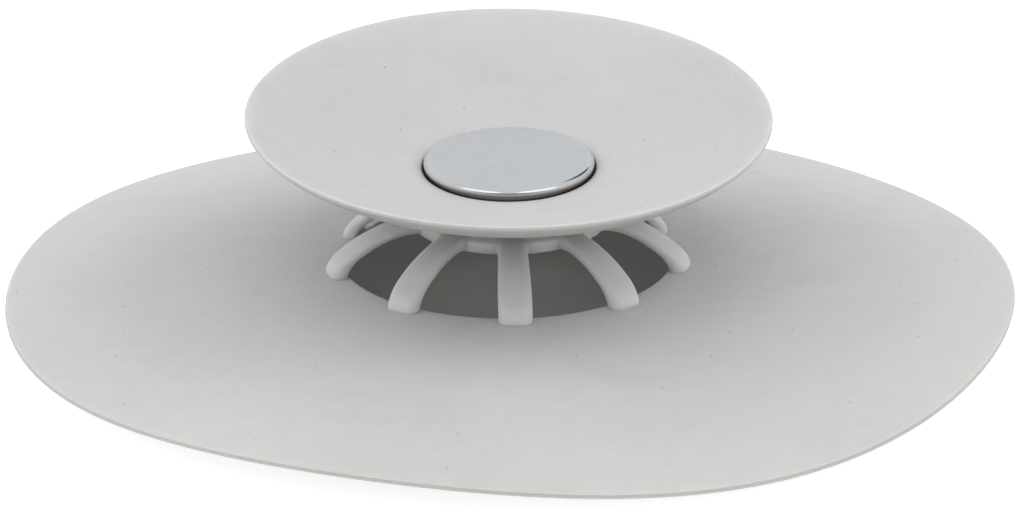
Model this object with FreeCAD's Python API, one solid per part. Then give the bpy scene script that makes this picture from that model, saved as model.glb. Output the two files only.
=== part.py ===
"""Push-down drain stopper with a strainer cage, standing on its flexible flange.

A thin domed rubber flange lies on the basin floor around the drain. Ten arched ribs rise from the
edge of its hole to a hub, and the gaps between them strain the water. The hub carries a shallow
rubber dish with a stainless push button in its middle. Pushing the button folds the ribs and
lowers the dish over the hole. Millimetres, +Z up, origin at the middle of the flange's underside.
"""
import FreeCAD, Part
import os
from FreeCAD import Vector
from math import atan, cos, radians, sin, tan

# Flange: flat sealing land outside, a gentle dome inside, a round hole over the drain.
FLANGE_R = 75.0
FLANGE_T = 1.2
LAND_INNER_R = 66.0
EDGE_ROUND = 0.35
HOLE_R = 25.3
HOLE_TOP_Z = 9.2

# Ribs: arched bars from the hole's edge to the hub.
RIB_COUNT = 10
RIB_FIRST_DEG = -88.3
RIB_WIDTH = 4.8
RIB_CROWN_ROUND = 0.55
RIB_TO_HUB_GAP = 0.3
RIB_END_RISE = 7.5
RIB_END_T = 1.4
# Side outline of a rib from its foot inwards: (radius, height above the hole's edge).
RIB_CROWN = ((27.7, 0.4), (26.7, 1.9), (25.1, 3.1), (22.2, 5.1), (19.0, 6.6))
RIB_BELLY = ((25.7, 0.3), (23.9, 2.6), (20.3, 4.7), (17.2, 5.8))

# Hub: round cap that the ribs run to, with a neck up to the dish.
HUB_R = 14.85
HUB_BOTTOM_Z = 14.7
HUB_EDGE_T = 1.5
HUB_EDGE_ROUND = 0.6
HUB_BREAK = 0.3
HUB_TOP_SLOPE_DEG = 18.0
HUB_RING_WALL = 2.4
HUB_ROOF_Z = 16.0
HUB_BOSS_R = 7.0
HUB_BOSS_Z = 15.2
NECK_R = 9.0
NECK_TOP_Z = 19.9

# Dish: shallow cone with a recess for the button.
DISH_RIM_R = 38.85
DISH_RIM_Z = 31.9
DISH_LIP_Z = 22.9
DISH_WALL = 1.9
DISH_SAG = 0.45
DISH_FOOT_FLARE = 0.6
DISH_UNDER_START = 0.8
RIM_T = 0.8
RIM_DROP = 0.45
# Corners of the undercut side of the rim: (radius, height).
RIM_SIDE = (38.2, 30.3)
RIM_FOOT = (36.2, 28.9)
RECESS_R = 13.2
RECESS_FLOOR_Z = 21.4
LIP_ROUND = 0.5

# Button: pressed stainless cap over a moulded core, whose stem holds the stack together.
BUTTON_R = 12.65
BUTTON_TOP_Z = 24.0
BUTTON_SHEET = 0.4
BUTTON_ROLL = 1.1
CAP_SKIRT_Z = 21.9
STEM_R = 3.0
STEM_CLEARANCE = 0.05
STEM_END_Z = 13.9
STEM_CHAMFER = 0.5
CORE_POCKET_R = (5.0, 10.2)
CORE_POCKET_DEPTH = 1.2

# Press-on retaining washer on the stem's end.
WASHER_R = 6.0
WASHER_T = 0.8
WASHER_SLOTS = 4
WASHER_SLOT_WIDTH = 0.8
WASHER_SLOT_REACH = 1.4

UP = Vector(0, 0, 1)
CENTRE = Vector(0, 0, 0)

# How far the middle of a quarter arc lies in from each side of its corner, for a radius of 1.
QUARTER_ARC_INSET = 1 - cos(radians(45))


def at(r, z):
    """Point of a profile in the XZ half plane, at radius r and height z."""
    return Vector(r, 0, z)


def line(a, b):
    return Part.makeLine(at(*a), at(*b))


def arc(a, middle, b):
    return Part.Arc(at(*a), at(*middle), at(*b)).toShape()


def curve(points, start_slope=None, end_slope=None):
    """Smooth curve through profile points; slopes are (dr, dz) directions at its two ends."""
    spline = Part.BSplineCurve()
    if start_slope is None:
        spline.interpolate([at(*p) for p in points])
    else:
        spline.interpolate(
            [at(*p) for p in points], InitialTangent=at(*start_slope), FinalTangent=at(*end_slope)
        )
    return spline.toShape()


def polyline(points):
    return [line(a, b) for a, b in zip(points[:-1], points[1:])]


def revolve(edges):
    """Solid of revolution about Z from a closed profile of edges."""
    wire = Part.Wire(Part.sortEdges(edges)[0])
    solid = Part.Face(wire).revolve(CENTRE, UP, 360)
    solid = Part.makeSolid(solid) if solid.ShapeType == "Shell" else solid
    if solid.Volume < 0:
        solid.reverse()
    return solid


def flange_height(r):
    """Height of the flange's top: level at the hole and at the land, an S-curve between."""
    swing = (r - HOLE_R) / (LAND_INNER_R - HOLE_R)
    share = 0.5 - 0.5 * cos(radians(180) * min(1.0, swing))
    return HOLE_TOP_Z + (FLANGE_T - HOLE_TOP_Z) * share


def make_flange():
    spans = 6
    stops = [HOLE_R + (LAND_INNER_R - HOLE_R) * i / spans for i in range(spans + 1)]
    top = [(r, flange_height(r)) for r in stops]
    under = [(r, z - FLANGE_T) for r, z in reversed(top)]
    nose = FLANGE_R - EDGE_ROUND
    bend = EDGE_ROUND * QUARTER_ARC_INSET
    edges = [
        curve(top, (1, 0), (1, 0)),
        line(top[-1], (nose, FLANGE_T)),
        arc((nose, FLANGE_T), (FLANGE_R - bend, FLANGE_T - bend), (FLANGE_R, FLANGE_T - EDGE_ROUND)),
        line((FLANGE_R, FLANGE_T - EDGE_ROUND), (FLANGE_R, 0)),
        line((FLANGE_R, 0), under[0]),
        curve(under, (-1, 0), (-1, 0)),
        line(under[-1], top[0]),
    ]
    return revolve(edges)


def make_rib(flange):
    """One arched rib along +X. Its foot is trimmed to the flange, so that the two meet face to face."""
    inner_r = HUB_R + RIB_TO_HUB_GAP
    crown = [(r, HOLE_TOP_Z + rise) for r, rise in RIB_CROWN + ((inner_r, RIB_END_RISE),)]
    belly = [(r, HOLE_TOP_Z + rise) for r, rise in RIB_BELLY + ((inner_r, RIB_END_RISE - RIB_END_T),)]
    buried = HOLE_TOP_Z - FLANGE_T / 2
    heel = (belly[0][0], buried)
    toe = (crown[0][0], buried)
    edges = [curve(crown), line(crown[-1], belly[-1]), curve(belly)]
    edges += polyline([belly[0], heel, toe, crown[0]])
    face = Part.Face(Part.Wire(Part.sortEdges(edges)[0]))
    face.translate(Vector(0, -RIB_WIDTH / 2, 0))
    bar = face.extrude(Vector(0, RIB_WIDTH, 0))
    inner_middle_z = HOLE_TOP_Z + RIB_END_RISE - RIB_END_T / 2
    crown_edges = [
        edge for edge in bar.Edges
        if edge.BoundBox.ZMax > inner_middle_z and edge.BoundBox.XLength > RIB_WIDTH
    ]
    return bar.makeFillet(RIB_CROWN_ROUND, crown_edges).cut(flange).Solids[0]


def make_hub():
    edge_top = HUB_BOTTOM_Z + HUB_EDGE_T
    shoulder = HUB_R - HUB_EDGE_ROUND
    neck_foot = edge_top + tan(radians(HUB_TOP_SLOPE_DEG)) * (shoulder - NECK_R)
    bore = STEM_R + STEM_CLEARANCE
    ring = HUB_R - HUB_RING_WALL
    bend = HUB_EDGE_ROUND * QUARTER_ARC_INSET
    outline = [
        (bore, NECK_TOP_Z),
        (bore, HUB_BOSS_Z),
        (HUB_BOSS_R, HUB_BOSS_Z),
        (HUB_BOSS_R, HUB_ROOF_Z),
        (ring, HUB_ROOF_Z),
        (ring, HUB_BOTTOM_Z),
        (HUB_R - HUB_BREAK, HUB_BOTTOM_Z),
        (HUB_R, HUB_BOTTOM_Z + HUB_BREAK),
        (HUB_R, edge_top - HUB_EDGE_ROUND),
    ]
    edges = polyline(outline)
    edges.append(arc(outline[-1], (HUB_R - bend, edge_top - bend), (shoulder, edge_top)))
    edges += polyline([(shoulder, edge_top), (NECK_R, neck_foot), (NECK_R, NECK_TOP_Z), outline[0]])
    return revolve(edges)


def make_dish():
    cone = atan((DISH_RIM_Z - DISH_LIP_Z) / (DISH_RIM_R - RECESS_R))
    lip_foot = (RECESS_R, DISH_LIP_Z - LIP_ROUND)
    lip = (RECESS_R + LIP_ROUND, DISH_LIP_Z + LIP_ROUND * tan(cone))
    lip_bend = (RECESS_R + LIP_ROUND * QUARTER_ARC_INSET, DISH_LIP_Z - LIP_ROUND * QUARTER_ARC_INSET)
    rim_in = (DISH_RIM_R - RIM_T, DISH_RIM_Z - RIM_T * tan(cone))
    rim_top = (DISH_RIM_R - RIM_T / 4, DISH_RIM_Z)
    rim_out = (DISH_RIM_R, DISH_RIM_Z - RIM_DROP)
    middle = (
        (lip[0] + rim_in[0]) / 2 + DISH_SAG * sin(cone),
        (lip[1] + rim_in[1]) / 2 - DISH_SAG * cos(cone),
    )
    drop = DISH_WALL / cos(cone)
    under_middle = (middle[0], middle[1] - drop)
    under_foot = (RECESS_R + DISH_UNDER_START, DISH_LIP_Z + DISH_UNDER_START * tan(cone) - drop)
    boss = (NECK_R + DISH_FOOT_FLARE, NECK_TOP_Z)
    bore = STEM_R + STEM_CLEARANCE
    floor_edge = (RECESS_R, RECESS_FLOOR_Z)
    edges = polyline([boss, (bore, NECK_TOP_Z), (bore, RECESS_FLOOR_Z), floor_edge, lip_foot])
    edges += [
        arc(lip_foot, lip_bend, lip),
        arc(lip, middle, rim_in),
        arc(rim_in, rim_top, rim_out),
        arc(RIM_FOOT, under_middle, under_foot),
        line(under_foot, boss),
    ]
    edges += polyline([rim_out, RIM_SIDE, RIM_FOOT])
    return revolve(edges)


def make_button_cap():
    flat = BUTTON_R - BUTTON_ROLL
    side = BUTTON_TOP_Z - BUTTON_ROLL
    bend = BUTTON_ROLL * QUARTER_ARC_INSET
    inner_r = BUTTON_R - BUTTON_SHEET
    inner_z = BUTTON_TOP_Z - BUTTON_SHEET
    inner_roll = BUTTON_ROLL - BUTTON_SHEET
    inner_bend = inner_roll * QUARTER_ARC_INSET
    edges = [
        line((0, BUTTON_TOP_Z), (flat, BUTTON_TOP_Z)),
        arc((flat, BUTTON_TOP_Z), (BUTTON_R - bend, BUTTON_TOP_Z - bend), (BUTTON_R, side)),
        line((BUTTON_R, side), (BUTTON_R, CAP_SKIRT_Z)),
        line((BUTTON_R, CAP_SKIRT_Z), (inner_r, CAP_SKIRT_Z)),
        line((inner_r, CAP_SKIRT_Z), (inner_r, side)),
        arc((inner_r, side), (inner_r - inner_bend, inner_z - inner_bend), (flat, inner_z)),
        line((flat, inner_z), (0, inner_z)),
        line((0, inner_z), (0, BUTTON_TOP_Z)),
    ]
    return revolve(edges)


def make_button_core():
    top = BUTTON_TOP_Z - BUTTON_SHEET
    rim = BUTTON_R - BUTTON_SHEET
    roll = BUTTON_ROLL - BUTTON_SHEET
    pocket_in, pocket_out = CORE_POCKET_R
    pocket_z = RECESS_FLOOR_Z + CORE_POCKET_DEPTH
    outline = [
        (0, top),
        (rim - roll, top),
        (rim, top - roll),
        (rim, RECESS_FLOOR_Z),
        (pocket_out, RECESS_FLOOR_Z),
        (pocket_out, pocket_z),
        (pocket_in, pocket_z),
        (pocket_in, RECESS_FLOOR_Z),
        (STEM_R, RECESS_FLOOR_Z),
        (STEM_R, STEM_END_Z + STEM_CHAMFER),
        (STEM_R - STEM_CHAMFER, STEM_END_Z),
        (0, STEM_END_Z),
        (0, top),
    ]
    return revolve(polyline(outline))


def make_washer():
    """Flat ring with slots into its bore, so that it grips the stem."""
    low = HUB_BOSS_Z - WASHER_T
    foot = Vector(0, 0, low)
    washer = Part.makeCylinder(WASHER_R, WASHER_T, foot).cut(Part.makeCylinder(STEM_R, WASHER_T, foot))
    slot = Part.makeBox(STEM_R + WASHER_SLOT_REACH, WASHER_SLOT_WIDTH, WASHER_T)
    slot.translate(Vector(0, -WASHER_SLOT_WIDTH / 2, low))
    for k in range(WASHER_SLOTS):
        turned = slot.copy()
        turned.rotate(CENTRE, UP, 360 * (k + 0.5) / WASHER_SLOTS)
        washer = washer.cut(turned)
    return washer.Solids[0]


def build():
    flange = make_flange()
    nodes = {"base_flange": flange}
    rib = make_rib(flange)
    for k in range(RIB_COUNT):
        turned = rib.copy()
        turned.rotate(CENTRE, UP, RIB_FIRST_DEG + 360 * k / RIB_COUNT)
        nodes[f"rib_{k + 1:02d}"] = turned
    nodes["hub"] = make_hub()
    nodes["stopper_dish"] = make_dish()
    nodes["button_cap"] = make_button_cap()
    nodes["button_core"] = make_button_core()
    nodes["retaining_washer"] = make_washer()
    return nodes


os.makedirs("parts", exist_ok=True)
for name, shape in build().items():
    shape.exportStep(f"parts/{name}.step")
    box = shape.BoundBox
    print(f"{name}: {shape.ShapeType} valid {shape.isValid()} volume {shape.Volume:.1f} mm3,"
          f" z {box.ZMin:.2f} to {box.ZMax:.2f}")
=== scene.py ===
"""Looks for the push-down drain stopper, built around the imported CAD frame.

The flange, ribs, hub, dish and steel cap get detailed meshes with procedural materials. The core
and the washer keep their CAD meshes. Outlines are in millimetres, in the frame's axes, and become
metres when a mesh is made; places and lengths in materials, lights and the camera are in metres.
"""
from math import atan2, cos, pi, radians, sin, tan

import bmesh
import bpy
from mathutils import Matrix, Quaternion, Vector


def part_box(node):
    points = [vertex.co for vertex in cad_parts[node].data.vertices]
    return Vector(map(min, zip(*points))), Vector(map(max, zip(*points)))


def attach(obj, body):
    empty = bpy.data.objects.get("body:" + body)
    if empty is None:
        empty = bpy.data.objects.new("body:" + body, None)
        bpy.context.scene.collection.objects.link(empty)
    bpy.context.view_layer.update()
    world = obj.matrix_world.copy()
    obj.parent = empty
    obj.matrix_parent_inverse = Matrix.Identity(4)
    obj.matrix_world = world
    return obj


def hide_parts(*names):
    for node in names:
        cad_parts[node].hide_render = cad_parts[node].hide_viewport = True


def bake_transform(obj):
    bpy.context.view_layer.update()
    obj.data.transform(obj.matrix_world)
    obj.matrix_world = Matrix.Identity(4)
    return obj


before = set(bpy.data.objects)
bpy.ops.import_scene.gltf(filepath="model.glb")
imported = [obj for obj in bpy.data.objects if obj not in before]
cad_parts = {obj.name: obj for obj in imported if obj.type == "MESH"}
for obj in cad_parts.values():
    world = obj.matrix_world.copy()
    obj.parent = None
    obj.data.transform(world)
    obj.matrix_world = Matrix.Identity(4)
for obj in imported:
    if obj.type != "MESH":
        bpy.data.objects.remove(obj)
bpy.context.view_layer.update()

MM = 0.001
RIBS = sorted(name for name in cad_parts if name.startswith("rib_"))

# ---------------------------------------------------------------- sizes, in millimetres


def node_size(node):
    """(outer radius, lowest z, highest z) of a round CAD node, in millimetres."""
    low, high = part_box(node)
    return (high.x - low.x) / 2 / MM, low.z / MM, high.z / MM


FLANGE_R, _, HOLE_TOP_Z = node_size("base_flange")
DISH_R, DISH_FOOT_Z, DISH_RIM_Z = node_size("stopper_dish")
HUB_R, HUB_Z, HUB_TOP_Z = node_size("hub")
BUTTON_R, CAP_SKIRT_Z, BUTTON_TOP_Z = node_size("button_cap")
CORE_R, _, CORE_TOP_Z = node_size("button_core")

# Flange: a soft sheet round the drain hole. Each edge wave is (waves round, height, peak in degrees).
HOLE_R = 25.3
FLANGE_T = 1.2
FLANGE_EDGE_T = 0.8
EDGE_LIFT = 3.0
EDGE_WAVES = ((1, 1.5, -102), (2, 0.86, 18.1), (3, 0.83, 8.2), (4, 0.73, -14.6))
DOME_POWER = 1.15

# Dish: the recess for the button, and how the soft dish leans.
RECESS_R = 12.88
LIP_Z = 22.9
RECESS_FLOOR_Z = 21.4
LIP_TILT_DEG = 2.5
RIM_TILT_BACK_DEG = 3.8
RIM_TILT_LEFT_DEG = 0.7
RIM_DROOP = 0.34

# Button: its rolled edge and crowned face, and how it sits.
CAP_T = 0.4
BUTTON_ROLL = 0.8
BUTTON_CROWN = 0.22
BUTTON_LIFT = 0.40
BUTTON_TILT_DEG = 1.3

# Ribs: their half width and where it grows, and the crowning of their top.
RIB_HALF = 2.18
FOOT_FLARE = 0.30
CORNER_FLARE = 0.45
RIB_CROWNING = 0.22

# Cage: how far its soft feet are squeezed inwards, behind and on the right, and pushed sideways, and
# over what distance the flange evens that out.
FOOT_PULL = 2.1
FOOT_PULL_RIGHT = 0.9
FOOT_SHIFT = 1.1
PULL_FADE = 12.0

# Hub: its bore, its hollow underside and its neck.
STEM_BORE_R = 3.05
HUB_HOLLOW_R = 7.0
HUB_SKIRT_T = 2.4
NECK_R = 9.0

# Steps round a turned piece.
ROUND = 288
FLANGE_ROUND = 360


# ---------------------------------------------------------------- mesh helpers


def smooth_step(t):
    t = min(1.0, max(0.0, t))
    return t * t * (3 - 2 * t)


def spline(points, steps):
    """Catmull-Rom curve through points, with steps spans between each pair."""
    ends = [2 * Vector(points[0]) - Vector(points[1]), 2 * Vector(points[-1]) - Vector(points[-2])]
    knots = [ends[0]] + [Vector(p) for p in points] + [ends[1]]
    out = []
    for a, b, c, d in zip(knots, knots[1:], knots[2:], knots[3:]):
        for i in range(steps):
            t = i / steps
            out.append(
                0.5 * (2 * b + (c - a) * t + (2 * a - 5 * b + 4 * c - d) * t * t
                       + (3 * b - a - 3 * c + d) * t * t * t)
            )
    return out + [knots[-2]]


def rounded(corners, arc_steps=6):
    """Closed outline from corners (r, z, fillet radius), with each corner rounded by a quadratic arc."""
    out = []
    count = len(corners)
    for i, (r, z, fillet) in enumerate(corners):
        here = Vector((r, z))
        before = Vector(corners[i - 1][:2]) - here
        after = Vector(corners[(i + 1) % count][:2]) - here
        reach = min(fillet, 0.45 * before.length, 0.45 * after.length)
        if reach <= 0:
            out.append(here)
            continue
        a = here + before.normalized() * reach
        b = here + after.normalized() * reach
        for k in range(arc_steps + 1):
            t = k / arc_steps
            out.append(a * (1 - t) ** 2 + here * 2 * t * (1 - t) + b * t * t)
    return out


def divide(outline, longest):
    """The closed outline with extra points, so that no span is longer than longest."""
    out = []
    for a, b in zip(outline, outline[1:] + outline[:1]):
        a, b = Vector(a), Vector(b)
        spans = max(1, int((b - a).length / longest + 0.999))
        out += [a.lerp(b, k / spans) for k in range(spans)]
    return out


def mesh_object(name, verts, faces, material):
    """Smooth piece from points in millimetres, with doubled points joined and normals outwards."""
    mesh = bpy.data.meshes.new(name)
    mesh.from_pydata([tuple(c * MM for c in v) for v in verts], [], faces)
    work = bmesh.new()
    work.from_mesh(mesh)
    bmesh.ops.remove_doubles(work, verts=work.verts, dist=1e-7)
    loose = [edge for edge in work.edges if not edge.link_faces]
    bmesh.ops.delete(work, geom=loose, context="EDGES")
    bmesh.ops.recalc_face_normals(work, faces=work.faces)
    for face in work.faces:
        face.smooth = True
    work.to_mesh(mesh)
    work.free()
    piece = bpy.data.objects.new(name, mesh)
    bpy.context.scene.collection.objects.link(piece)
    mesh.materials.append(material)
    return piece


def turned(name, outline, material, shape=None, segments=ROUND):
    """Closed outline of (r, z) turned about Z. shape(r, z, angle) gives each point's own (r, z)."""
    verts, faces = [], []
    count = len(outline)
    for s in range(segments):
        angle = 2 * pi * s / segments
        for r, z in outline:
            if shape:
                r, z = shape(r, z, angle)
            verts.append((r * cos(angle), r * sin(angle), z))
    for s in range(segments):
        here, there = s * count, (s + 1) % segments * count
        for k in range(count):
            nxt = (k + 1) % count
            faces.append((here + k, there + k, there + nxt, here + nxt))
    return mesh_object(name, verts, faces, material)


# ---------------------------------------------------------------- node helpers


class Shader:
    """A material's node tree with short calls for the nodes that the finishes share."""

    def __init__(self, name):
        self.material = bpy.data.materials.new(name)
        self.material.use_nodes = True
        self.tree = self.material.node_tree
        self.bsdf = self.tree.nodes["Principled BSDF"]
        self.position = self.tree.nodes.new("ShaderNodeTexCoord").outputs["Object"]

    def set(self, **values):
        for key, value in values.items():
            self.bsdf.inputs[key.replace("_", " ")].default_value = value

    def link(self, source, socket):
        self.tree.links.new(source, socket)

    def math(self, operation, a, b=None, clamp=False):
        node = self.tree.nodes.new("ShaderNodeMath")
        node.operation = operation
        node.use_clamp = clamp
        for socket, value in zip(node.inputs, (a, b)):
            if value is None:
                continue
            if isinstance(value, (int, float)):
                socket.default_value = value
            else:
                self.link(value, socket)
        return node.outputs[0]

    def ramp(self, value, low, high, out_low=0.0, out_high=1.0):
        node = self.tree.nodes.new("ShaderNodeMapRange")
        node.interpolation_type = "SMOOTHSTEP"
        self.link(value, node.inputs["Value"])
        for socket, number in zip(node.inputs[1:5], (low, high, out_low, out_high)):
            socket.default_value = number
        return node.outputs[0]

    def mix(self, share, a, b, blend="MIX"):
        node = self.tree.nodes.new("ShaderNodeMix")
        node.data_type = "RGBA"
        node.blend_type = blend
        if isinstance(share, (int, float)):
            node.inputs["Factor"].default_value = share
        else:
            self.link(share, node.inputs["Factor"])
        for socket, value in ((node.inputs[6], a), (node.inputs[7], b)):
            if isinstance(value, tuple):
                socket.default_value = value
            else:
                self.link(value, socket)
        return node.outputs[2]

    def noise(self, scale, detail=2.0, rough=0.5, at=None):
        node = self.tree.nodes.new("ShaderNodeTexNoise")
        node.inputs["Scale"].default_value = scale
        node.inputs["Detail"].default_value = detail
        node.inputs["Roughness"].default_value = rough
        self.link(at or self.position, node.inputs["Vector"])
        return node.outputs["Fac"]

    def placed(self, scale=(1, 1, 1), turn=0.0, move=(0, 0, 0)):
        """Object coordinates moved, turned about Z and scaled."""
        node = self.tree.nodes.new("ShaderNodeMapping")
        node.inputs["Location"].default_value = move
        node.inputs["Rotation"].default_value = (0, 0, radians(turn))
        node.inputs["Scale"].default_value = scale
        self.link(self.position, node.inputs["Vector"])
        return node.outputs[0]

    def parts(self):
        node = self.tree.nodes.new("ShaderNodeSeparateXYZ")
        self.link(self.position, node.inputs[0])
        return node.outputs

    def radius(self):
        """Distance from the Z axis, in metres."""
        x, y, _ = self.parts()
        square = self.math("ADD", self.math("MULTIPLY", x, x), self.math("MULTIPLY", y, y))
        return self.math("SQRT", square)

    def specks(self, per_metre, size, share, move=(0, 0, 0)):
        """1 on scattered round specks, seen from above: cells 1 / per_metre wide, some of them empty."""
        node = self.tree.nodes.new("ShaderNodeTexVoronoi")
        node.voronoi_dimensions = "2D"
        node.inputs["Scale"].default_value = per_metre
        self.link(self.placed(move=move), node.inputs["Vector"])
        near = self.ramp(node.outputs["Distance"], size, size * 0.5)
        split = self.tree.nodes.new("ShaderNodeSeparateColor")
        self.link(node.outputs["Color"], split.inputs[0])
        kept = self.math("LESS_THAN", split.outputs[0], share)
        return self.math("MULTIPLY", near, kept)

    def bump(self, height, strength, distance, under=None):
        node = self.tree.nodes.new("ShaderNodeBump")
        node.inputs["Strength"].default_value = strength
        node.inputs["Distance"].default_value = distance
        self.link(height, node.inputs["Height"])
        if under is not None:
            self.link(under, node.inputs["Normal"])
        return node.outputs[0]


# ---------------------------------------------------------------- materials


def rubber(name, tone=1.0, wall_shade_share=0.0, gap_r=None, dusty=True):
    """Matt grey thermoplastic rubber.

    tone above 1 lightens it. A share of painted shade darkens walls and undersides, by which way they face.
    Inside gap_r, in metres, the button's gap is painted dark, as painted shade, with a warm brown ring
    on the lip. dusty scatters dark and pale specks, laid out as seen from above.
    """
    s = Shader(name)
    cloud = s.noise(16, 3, 0.55)
    mottle = s.noise(300, 4, 0.6)
    colour = s.mix(s.ramp(cloud, 0.35, 0.65), (0.440, 0.436, 0.430, 1), (0.465, 0.461, 0.454, 1))
    colour = s.mix(s.ramp(mottle, 0.3, 0.7, 0.0, 0.35), colour, (0.490, 0.488, 0.484, 1))
    smudge = s.noise(34, 4, 0.6, s.placed((1, 2.0, 1), 12))
    colour = s.mix(s.ramp(smudge, 0.58, 0.78, 0.0, 0.24), colour, (0.385, 0.365, 0.340, 1))
    streak = s.noise(150, 3, 0.5, s.placed((1, 14, 1), -31))
    colour = s.mix(s.ramp(streak, 0.66, 0.80, 0.0, 0.35), colour, (0.55, 0.545, 0.54, 1))
    if tone != 1:
        colour = s.mix(tone - 1, colour, (0.98, 0.975, 0.965, 1))
    # Painted shade: walls and undersides, picked by which way they face, are darkened towards dark grey.
    if wall_shade_share:
        facing = s.tree.nodes.new("ShaderNodeSeparateXYZ")
        s.link(s.tree.nodes.new("ShaderNodeTexCoord").outputs["Normal"], facing.inputs[0])
        painted_wall_shade = s.ramp(facing.outputs[2], 0.90, 0.55, 0.0, wall_shade_share)
        colour = s.mix(painted_wall_shade, colour, (0.20, 0.195, 0.185, 1))
    if gap_r:
        # Painted shade in the button's gap: dark inside it, with a warm brown ring on the lip just outside.
        r = s.radius()
        colour = s.mix(s.ramp(r, gap_r + 0.00045, gap_r + 0.00020, 0.0, 0.6), colour, (0.44, 0.36, 0.27, 1))
        colour = s.mix(s.ramp(r, gap_r + 0.00014, gap_r - 0.00005), colour, (0.34, 0.31, 0.27, 1))
    if dusty:
        dust = s.specks(105, 0.022, 0.32)
        fine = s.specks(330, 0.030, 0.10, (0.013, 0.007, 0))
        pale = s.specks(140, 0.018, 0.14, (0.031, 0.002, 0))
        colour = s.mix(s.math("MULTIPLY", dust, 0.75), colour, (0.16, 0.15, 0.14, 1))
        colour = s.mix(s.math("MULTIPLY", fine, 0.55), colour, (0.24, 0.22, 0.20, 1))
        colour = s.mix(s.math("MULTIPLY", pale, 0.7), colour, (0.9, 0.9, 0.88, 1))
    s.link(colour, s.bsdf.inputs["Base Color"])
    s.link(s.ramp(s.noise(220, 4, 0.6), 0.3, 0.7, 0.50, 0.62), s.bsdf.inputs["Roughness"])
    grain = s.noise(2600, 3, 0.6)
    soft = s.bump(s.noise(90, 3, 0.5), 0.25, 0.0004)
    s.link(s.bump(grain, 0.12, 0.00008, soft), s.bsdf.inputs["Normal"])
    s.set(Subsurface_Weight=0.40, Subsurface_Scale=0.003, IOR=1.45, Specular_IOR_Level=0.35)
    s.bsdf.inputs["Subsurface Radius"].default_value = (1.0, 0.92, 0.80)
    return s.material


def steel(name, face_r, skirt_shade_z):
    """Stainless steel: a finely hatched face out to face_r metres, a polished rolled edge beyond.

    The skirt is painted darker below the given skirt height, in metres: a painted dark reflection of the
    recess.
    """
    s = Shader(name)
    on_face = s.ramp(s.radius(), face_r, face_r - 0.0004)
    hatch = s.tree.nodes.new("ShaderNodeTexWave")
    hatch.inputs["Scale"].default_value = 620
    hatch.inputs["Distortion"].default_value = 0.3
    s.link(s.placed(turn=21), hatch.inputs["Vector"])
    lines = s.noise(900, 2, 0.5, s.placed((1, 12, 1), 62))
    relief = s.math("ADD", hatch.outputs["Fac"], s.math("MULTIPLY", lines, 0.10))
    relief = s.math("MULTIPLY", relief, on_face)
    wear = s.noise(120, 4, 0.6)
    tint = s.mix(s.ramp(wear, 0.3, 0.7), (0.712, 0.708, 0.708, 1), (0.765, 0.762, 0.762, 1))
    grain = s.math("MULTIPLY", s.math("MULTIPLY", hatch.outputs["Fac"], s.noise(120, 2, 0.5)), on_face)
    tint = s.mix(s.math("MULTIPLY", grain, 0.26), tint, (0.52, 0.52, 0.525, 1))
    # Painted reflection: the skirt darkens towards the bottom, for the dark recess mirrored in it.
    painted_skirt_reflection = s.ramp(s.parts()[2], skirt_shade_z, skirt_shade_z - 0.0006, 0.0, 0.85)
    tint = s.mix(painted_skirt_reflection, tint, (0.12, 0.105, 0.09, 1))
    s.link(tint, s.bsdf.inputs["Base Color"])
    face_rough = s.ramp(wear, 0.25, 0.75, 0.16, 0.24)
    rough = s.math("ADD", s.math("MULTIPLY", face_rough, on_face), 0.08)
    s.link(rough, s.bsdf.inputs["Roughness"])
    s.link(s.bump(relief, 0.06, 0.00003), s.bsdf.inputs["Normal"])
    s.set(Metallic=1.0)
    return s.material


def plastic(name):
    """Moulded white plastic of the hidden core."""
    s = Shader(name)
    colour = s.mix(s.ramp(s.noise(180, 4, 0.6), 0.3, 0.7), (0.70, 0.70, 0.68, 1), (0.76, 0.76, 0.745, 1))
    s.link(colour, s.bsdf.inputs["Base Color"])
    s.link(s.ramp(s.noise(500, 3, 0.6), 0.3, 0.7, 0.36, 0.50), s.bsdf.inputs["Roughness"])
    s.link(s.bump(s.noise(1500, 3, 0.6), 0.15, 0.00005), s.bsdf.inputs["Normal"])
    s.set(Subsurface_Weight=0.15, Subsurface_Scale=0.002)
    return s.material


def pressed_steel(name):
    """Dull pressed steel of the retaining washer."""
    s = Shader(name)
    grain = s.noise(700, 4, 0.6, s.placed((1, 6, 1), 15))
    colour = s.mix(s.ramp(grain, 0.3, 0.7), (0.50, 0.50, 0.51, 1), (0.60, 0.60, 0.61, 1))
    s.link(colour, s.bsdf.inputs["Base Color"])
    s.link(s.ramp(grain, 0.3, 0.7, 0.28, 0.42), s.bsdf.inputs["Roughness"])
    s.link(s.bump(grain, 0.15, 0.00004), s.bsdf.inputs["Normal"])
    s.set(Metallic=1.0)
    return s.material


# ---------------------------------------------------------------- pieces


def edge_height(angle):
    """Height of the flange's outer top edge: the soft sheet lies in slow waves."""
    return EDGE_LIFT + sum(amp * cos(n * (angle - radians(peak))) for n, amp, peak in EDGE_WAVES)


def foot_pull(angle):
    """How far the hole's edge and the rib feet sit inwards: the soft cage is squeezed behind and right."""
    right = FOOT_PULL_RIGHT * max(0.0, cos(angle)) ** 2
    return FOOT_PULL * smooth_step((sin(angle) + 0.25) / 0.55) + right


def flange_thickness(r):
    """The sheet thins from the hole to its edge."""
    return FLANGE_T + (FLANGE_EDGE_T - FLANGE_T) * smooth_step((r - HOLE_R) / (FLANGE_R - HOLE_R))


def flange_top(r, angle):
    """Height of the sheet's top surface, from the hole's even edge to the wavy outer edge."""
    share = max(0.0, (r - HOLE_R) / (FLANGE_R - HOLE_R)) ** DOME_POWER
    return HOLE_TOP_Z + (edge_height(angle) - HOLE_TOP_Z) * share


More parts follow.
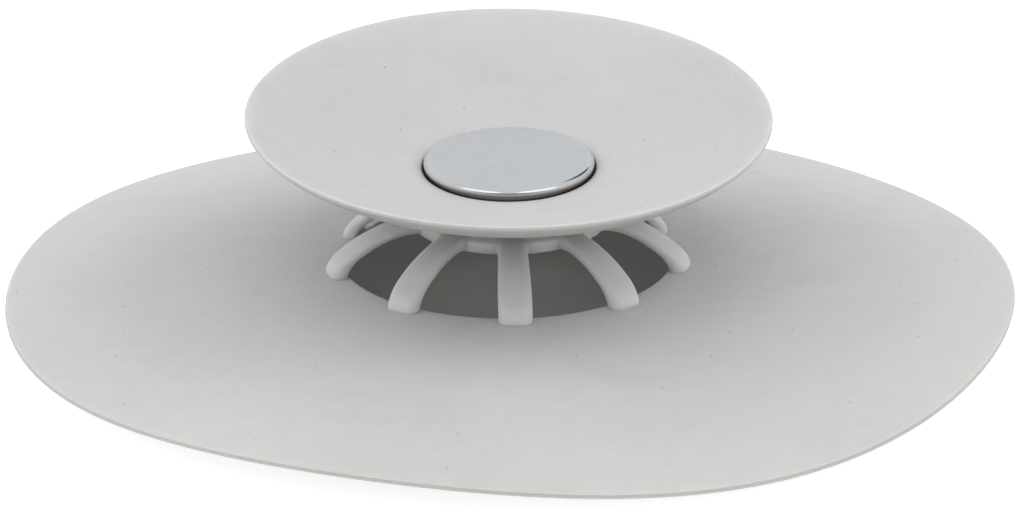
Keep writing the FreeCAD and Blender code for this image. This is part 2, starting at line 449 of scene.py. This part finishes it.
def lay_flange(r, depth, angle):
    """Place of a point of the sheet, given its radius and its depth under the top surface."""
    fade = 1 - smooth_step((r - HOLE_R) / PULL_FADE)
    return r - foot_pull(angle) * fade, flange_top(r, angle) - depth


def make_flange(material):
    """Thin sheet with a rounded outer edge and a rounded hole."""
    spans = 64
    stops = [HOLE_R + (FLANGE_R - HOLE_R) * k / spans for k in range(spans + 1)]
    nose = FLANGE_EDGE_T / 2
    top = [(r, 0.0) for r in stops[1:-1]] + [(FLANGE_R - nose, 0.0)]
    bend = [(FLANGE_R - nose + nose * sin(a), nose - nose * cos(a))
            for a in (pi * k / 8 for k in range(1, 8))]
    under = [(r, flange_thickness(r)) for r in reversed(stops[1:-1])]
    hole = rounded([
        (HOLE_R + 1, FLANGE_T, 0), (HOLE_R, FLANGE_T, 0.35), (HOLE_R, 0, 0.35), (HOLE_R + 1, 0, 0),
    ], 4)
    outline = top + bend + [(FLANGE_R - nose, FLANGE_EDGE_T)] + under + [tuple(p) for p in hole[1:-1]]
    return turned("flange", outline, material, lay_flange, FLANGE_ROUND)


def rib_curves():
    """Crown and belly of an arched rib, as (radius, z), from the flange to inside the hub."""
    z = HOLE_TOP_Z
    crown = [(27.7, z - 0.7), (27.75, z + 0.5), (26.8, z + 1.9), (25.0, z + 3.2), (22.2, z + 5.1),
             (19.0, z + 6.6), (15.6, z + 7.3), (12.4, z + 7.45)]
    belly = [(25.75, z - 0.7), (25.7, z + 0.2), (25.0, z + 1.5), (23.6, z + 2.75), (20.4, z + 4.6),
             (17.4, z + 5.6), (15.2, z + 5.75), (12.4, z + 5.8)]
    return spline(crown, 12), spline(belly, 12)


def rib_width(r):
    """Half width: fuller towards the foot, flared where the rib runs into the hub's edge."""
    foot = FOOT_FLARE * smooth_step((r - 16) / 10)
    corner = CORNER_FLARE * smooth_step((HUB_R + 1.6 - r) / 2.6) ** 1.5
    return RIB_HALF + foot + corner


def rib_section(thick, half, soft):
    """Cross-section, as (across, up) points: soft shoulders and a crowned top over a flat belly."""
    steps = 8
    sharp = 0.22
    quarter = [pi / 2 * k / steps for k in range(steps + 1)]
    right = [(half - soft + soft * cos(a), thick - soft + soft * sin(a)) for a in quarter]
    flat = [(half - soft) * k / 2 for k in (1, 0, -1)]
    left = [(-across, up) for across, up in reversed(right)]
    top = right + [(across, thick) for across in flat] + left
    crowned = [(across, up + RIB_CROWNING * (1 - (across / half) ** 2)) for across, up in top]
    return crowned + [(-half, sharp), (-half + sharp, 0), (half - sharp, 0), (half, sharp)]


def make_rib(name, angle, material):
    """A section swept between crown and belly. Its toe is softer, and moves with the squeezed cage."""
    crown, belly = rib_curves()
    verts, faces = [], []
    for c, b in zip(crown, belly):
        thick = (c - b).length
        middle = (c.x + b.x) / 2
        toe = smooth_step((middle - 24.5) / 2)
        soft = min(1.05, 0.5 * thick) + 0.3 * toe
        lift = (c - b).normalized()
        loose = smooth_step((middle - HUB_R - 1) / (HOLE_R - HUB_R - 1))
        section = rib_section(thick, rib_width(middle), soft)
        for across, up in section:
            r = b.x + lift.x * up - foot_pull(angle) * loose
            side = across + FOOT_SHIFT * cos(angle) * loose
            x = r * cos(angle) - side * sin(angle)
            y = r * sin(angle) + side * cos(angle)
            verts.append((x, y, b.y + lift.y * up))
    count = len(section)
    for s in range(len(crown) - 1):
        here, there = s * count, (s + 1) * count
        for k in range(count):
            nxt = (k + 1) % count
            faces.append((here + k, here + nxt, there + nxt, there + k))
    faces.append(tuple(range(count)))
    faces.append(tuple(range(len(verts) - count, len(verts))))
    return mesh_object(name, verts, faces, material)


def make_hub(material):
    """Ring that the ribs run into, hollow underneath, with a neck up to the dish."""
    low = HUB_Z
    outline = rounded([
        (STEM_BORE_R, HUB_TOP_Z, 0.1), (STEM_BORE_R, low + 0.5, 0.15),
        (HUB_HOLLOW_R, low + 0.5, 0.4), (HUB_HOLLOW_R, low + 1.3, 0.4),
        (HUB_R - HUB_SKIRT_T, low + 1.3, 0.5), (HUB_R - HUB_SKIRT_T, low, 0.35),
        (HUB_R, low, 0.3), (HUB_R, low + 1.65, 0.5),
        (NECK_R, low + 3.5, 1.2), (NECK_R, HUB_TOP_Z, 0.1),
    ])
    return turned("hub_cap", divide(outline, 1.2), material)


def dish_warp(r, z, angle):
    """The soft dish leans: it rises behind and dips in front, more and more towards the rim."""
    lean = smooth_step((r - CORE_R) / (RECESS_R - CORE_R))
    grow = smooth_step((r - RECESS_R - 1) / (DISH_R - 3 - RECESS_R - 1))
    lip = tan(radians(LIP_TILT_DEG)) * RECESS_R * sin(angle)
    back = tan(radians(RIM_TILT_BACK_DEG)) * DISH_R * sin(angle)
    left = -tan(radians(RIM_TILT_LEFT_DEG)) * DISH_R * cos(angle)
    return r, z + lean * lip + grow * (back - lip + left - RIM_DROOP)


def make_dish(material):
    """Bowl with a soft rolled rim and a recess for the button, seated on the hub's neck."""
    rim = DISH_RIM_Z - 0.03
    inside = spline([(RECESS_R + 0.55, LIP_Z + 0.12), (18.5, 24.35), (26.0, 26.85), (33.0, 29.42),
                     (DISH_R - 0.75, rim - 0.36)], 6)
    edge = spline([(DISH_R - 0.75, rim - 0.36), (DISH_R - 0.3, rim - 0.27), (DISH_R, rim - 0.6),
                   (DISH_R - 0.35, rim - 1.15), (DISH_R - 1.9, rim - 2.35), (DISH_R - 3.9, rim - 3.45)], 6)
    under = spline([(DISH_R - 3.9, rim - 3.45), (30.5, 26.6), (25.0, 24.62), (19.0, 22.62), (14.2, 21.15),
                    (NECK_R + 0.7, DISH_FOOT_Z + 0.15)], 6)
    recess = rounded([
        (NECK_R + 0.7, DISH_FOOT_Z + 0.15, 0), (NECK_R + 0.2, DISH_FOOT_Z, 0.3),
        (STEM_BORE_R, DISH_FOOT_Z, 0.1), (STEM_BORE_R, RECESS_FLOOR_Z, 0.1),
        (RECESS_R, RECESS_FLOOR_Z, 0.3), (RECESS_R, LIP_Z, 0.35), (RECESS_R + 0.55, LIP_Z + 0.12, 0),
    ])
    outline = inside[:-1] + edge[:-1] + under[:-1] + recess[:-1]
    return turned("dish", divide(outline, 1.4), material, dish_warp)


def button_lean(r, z, angle):
    """The button sits a little high and tips forward with the soft dish."""
    return r, z + BUTTON_LIFT + tan(radians(BUTTON_TILT_DEG)) * r * sin(angle)


def make_button(material):
    """Pressed cap: slightly crowned face, rolled edge, open underneath."""
    inner = BUTTON_R - CAP_T
    flat = BUTTON_R - BUTTON_ROLL
    face = [(flat * k / 12, BUTTON_TOP_Z - BUTTON_CROWN * (k / 12) ** 2) for k in range(1, 13)]
    roll_centre = BUTTON_TOP_Z - BUTTON_CROWN - BUTTON_ROLL
    turns = [pi / 2 * k / 12 for k in range(1, 13)]
    roll = [(flat + BUTTON_ROLL * sin(a), roll_centre + BUTTON_ROLL * cos(a)) for a in turns]
    skirt = rounded([(BUTTON_R, roll_centre, 0), (BUTTON_R, CAP_SKIRT_Z, 0.12), (inner, CAP_SKIRT_Z, 0.12),
                     (inner, CORE_TOP_Z, 0), (0, CORE_TOP_Z, 0)], 4)
    outline = [(0, BUTTON_TOP_Z)] + face + roll + [tuple(p) for p in skirt[1:]]
    return turned("button", outline, material, button_lean)


# ---------------------------------------------------------------- stage, light and camera

# The floor and the painted shade patch, in millimetres.
FLOOR_HALF = 4000
SHADE_PATCH_R = 60

# Strength of the white surroundings, how much the dark parts take off it and the windows add to it.
SKY_LIGHT = 0.78
SKY_DARK = 0.66
WINDOW_LIGHT = 0.60

# Camera: distance and aim in metres.
CAMERA_DISTANCE = 0.8
CAMERA_ELEVATION_DEG = 22.2
CAMERA_ROLL_DEG = -0.38
CAMERA_AIM = (0.00036, 0, 0.00892)
LENS_MM = 189.1


def make_floor():
    s = Shader("pale_floor")
    colour = s.mix(s.ramp(s.noise(3, 2, 0.5), 0.3, 0.7), (0.60, 0.60, 0.60, 1), (0.62, 0.62, 0.62, 1))
    s.link(colour, s.bsdf.inputs["Base Color"])
    s.set(Roughness=0.9, Specular_IOR_Level=0.1, Emission_Strength=0.72)
    s.bsdf.inputs["Emission Color"].default_value = (1, 1, 1, 1)
    corners = [(x * FLOOR_HALF, y * FLOOR_HALF, 0) for x, y in ((-1, -1), (1, -1), (1, 1), (-1, 1))]
    mesh_object("floor", corners, [(0, 1, 2, 3)], s.material)


def make_shade_patch():
    """Painted shade under the flange: a dark, faintly glowing floor patch, seen through the cage."""
    s = Shader("painted_shade_glow")
    colour = s.mix(s.ramp(s.noise(40, 3, 0.6), 0.3, 0.7), (0.11, 0.11, 0.105, 1), (0.13, 0.13, 0.12, 1))
    s.link(s.mix(s.specks(160, 0.03, 0.3), colour, (0.05, 0.05, 0.05, 1)), s.bsdf.inputs["Base Color"])
    s.set(Roughness=0.9, Emission_Strength=0.06)
    s.bsdf.inputs["Emission Color"].default_value = (1, 0.99, 0.94, 1)
    outline = [(0, 0.01), (SHADE_PATCH_R, 0.01), (SHADE_PATCH_R, 0.02), (0, 0.02)]
    turned("painted_shade_patch", outline, s.material, segments=96)


def area_light(name, size, power, place):
    """Soft light at place, turned to the object and not mirrored in its steel."""
    data = bpy.data.lights.new(name, "AREA")
    data.shape = "RECTANGLE"
    data.size, data.size_y = size
    data.energy = power
    data.color = (1.0, 0.985, 0.96)
    lamp = bpy.data.objects.new(name, data)
    lamp.location = place
    lamp.rotation_mode = "QUATERNION"
    lamp.rotation_quaternion = (-Vector(place)).to_track_quat("-Z", "Y")
    lamp.visible_glossy = False
    bpy.context.scene.collection.objects.link(lamp)


def make_world():
    """White surroundings for the steel to mirror.

    A dark band lies low in front, a dark flag high behind, and there are two bright windows in front.
    """
    world = bpy.data.worlds.new("studio")
    world.use_nodes = True
    tree = world.node_tree
    way = tree.nodes.new("ShaderNodeTexCoord").outputs["Generated"]
    split = tree.nodes.new("ShaderNodeSeparateXYZ")
    tree.links.new(way, split.inputs[0])

    def fade(value, low, high, out_high=1.0):
        node = tree.nodes.new("ShaderNodeMapRange")
        node.interpolation_type = "SMOOTHSTEP"
        tree.links.new(value, node.inputs["Value"])
        node.inputs["From Min"].default_value = low
        node.inputs["From Max"].default_value = high
        node.inputs["To Max"].default_value = out_high
        return node.outputs[0]

    def join(operation, a, b):
        node = tree.nodes.new("ShaderNodeMath")
        node.operation = operation
        for socket, value in zip(node.inputs, (a, b)):
            if isinstance(value, float):
                socket.default_value = value
            else:
                tree.links.new(value, socket)
        return node.outputs[0]

    def spot(direction, edge, core, out_high=1.0):
        """out_high in a cone about direction; edge and core are the cosines where it starts and is full."""
        node = tree.nodes.new("ShaderNodeVectorMath")
        node.operation = "DOT_PRODUCT"
        node.inputs[1].default_value = direction
        tree.links.new(way, node.inputs[0])
        return fade(node.outputs["Value"], edge, core, out_high)

    _, y, z = split.outputs
    low_down = join("MULTIPLY", fade(z, 0.62, 0.45), fade(z, 0.05, 0.15))
    band = join("MULTIPLY", fade(y, -0.35, -0.75), low_down)
    flag = spot((0.485, 0.623, 0.613), 0.955, 0.985)
    dark = join("MULTIPLY", join("MAXIMUM", band, flag), SKY_DARK)
    left = spot((-0.53, -0.53, 0.67), 0.90, 0.95, WINDOW_LIGHT)
    right = spot((0.53, -0.53, 0.67), 0.90, 0.95, WINDOW_LIGHT)
    level = join("ADD", join("SUBTRACT", SKY_LIGHT, dark), join("ADD", left, right))
    background = tree.nodes["Background"]
    background.inputs["Color"].default_value = (0.93, 0.965, 1, 1)
    tree.links.new(level, background.inputs["Strength"])
    bpy.context.scene.world = world


def make_light():
    make_world()
    area_light("left_box", (0.9, 0.9), 5.4, (-1.05, 0.2, 0.85))
    area_light("right_box", (0.9, 0.9), 6.0, (1.05, 0.2, 0.85))
    area_light("top_box", (1.4, 1.4), 3.8, (0, 0.1, 1.6))
    area_light("front_left_fill", (0.6, 0.4), 2.8, (-0.8, -0.95, 0.40))
    area_light("front_right_fill", (0.6, 0.4), 2.6, (0.8, -0.95, 0.40))
    bpy.context.scene.view_settings.view_transform = "Standard"


def make_camera():
    """Long lens in front of the object, above the floor and turned a little about its own axis."""
    elevation = radians(CAMERA_ELEVATION_DEG)
    data = bpy.data.cameras.new("camera")
    data.sensor_width = 36
    data.lens = LENS_MM
    data.clip_start = 0.01
    camera = bpy.data.objects.new("camera", data)
    back = Vector((0, -cos(elevation), sin(elevation)))
    camera.location = Vector(CAMERA_AIM) + back * CAMERA_DISTANCE
    camera.rotation_mode = "QUATERNION"
    roll = Quaternion((0, 0, 1), radians(CAMERA_ROLL_DEG))
    camera.rotation_quaternion = (-back).to_track_quat("-Z", "Y") @ roll
    bpy.context.scene.collection.objects.link(camera)
    bpy.context.scene.camera = camera


# ---------------------------------------------------------------- assembly

make_camera()
make_light()
make_floor()
make_shade_patch()

flange_rubber = rubber("flange_rubber", wall_shade_share=0.5)
dish_rubber = rubber("dish_rubber", tone=1.03, wall_shade_share=0.46, gap_r=RECESS_R * MM)
# Painted light: the cage's copy of the rubber is lightened, standing in for light under the dish.
cage_rubber = rubber("cage_rubber", tone=1.10, dusty=False)

flange = make_flange(flange_rubber)
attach(flange, "base")
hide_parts("base_flange")

for node in RIBS:
    low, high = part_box(node)
    middle = (low + high) / 2
    angle = atan2(middle.y, middle.x)
    rib = make_rib(node + "_moulded", angle, cage_rubber)
    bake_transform(rib)
    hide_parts(node)

hub = make_hub(cage_rubber)
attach(hub, "stopper")
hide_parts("hub")

dish = make_dish(dish_rubber)
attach(dish, "stopper")
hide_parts("stopper_dish")

button = make_button(steel("button_steel", (BUTTON_R - BUTTON_ROLL) * MM, (LIP_Z + 0.55) * MM))
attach(button, "stopper")
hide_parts("button_cap")

kept_nodes = {"button_core": plastic("core_plastic"), "retaining_washer": pressed_steel("washer_steel")}
for node, material in kept_nodes.items():
    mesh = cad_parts[node].data
    mesh.materials.clear()
    mesh.materials.append(material)
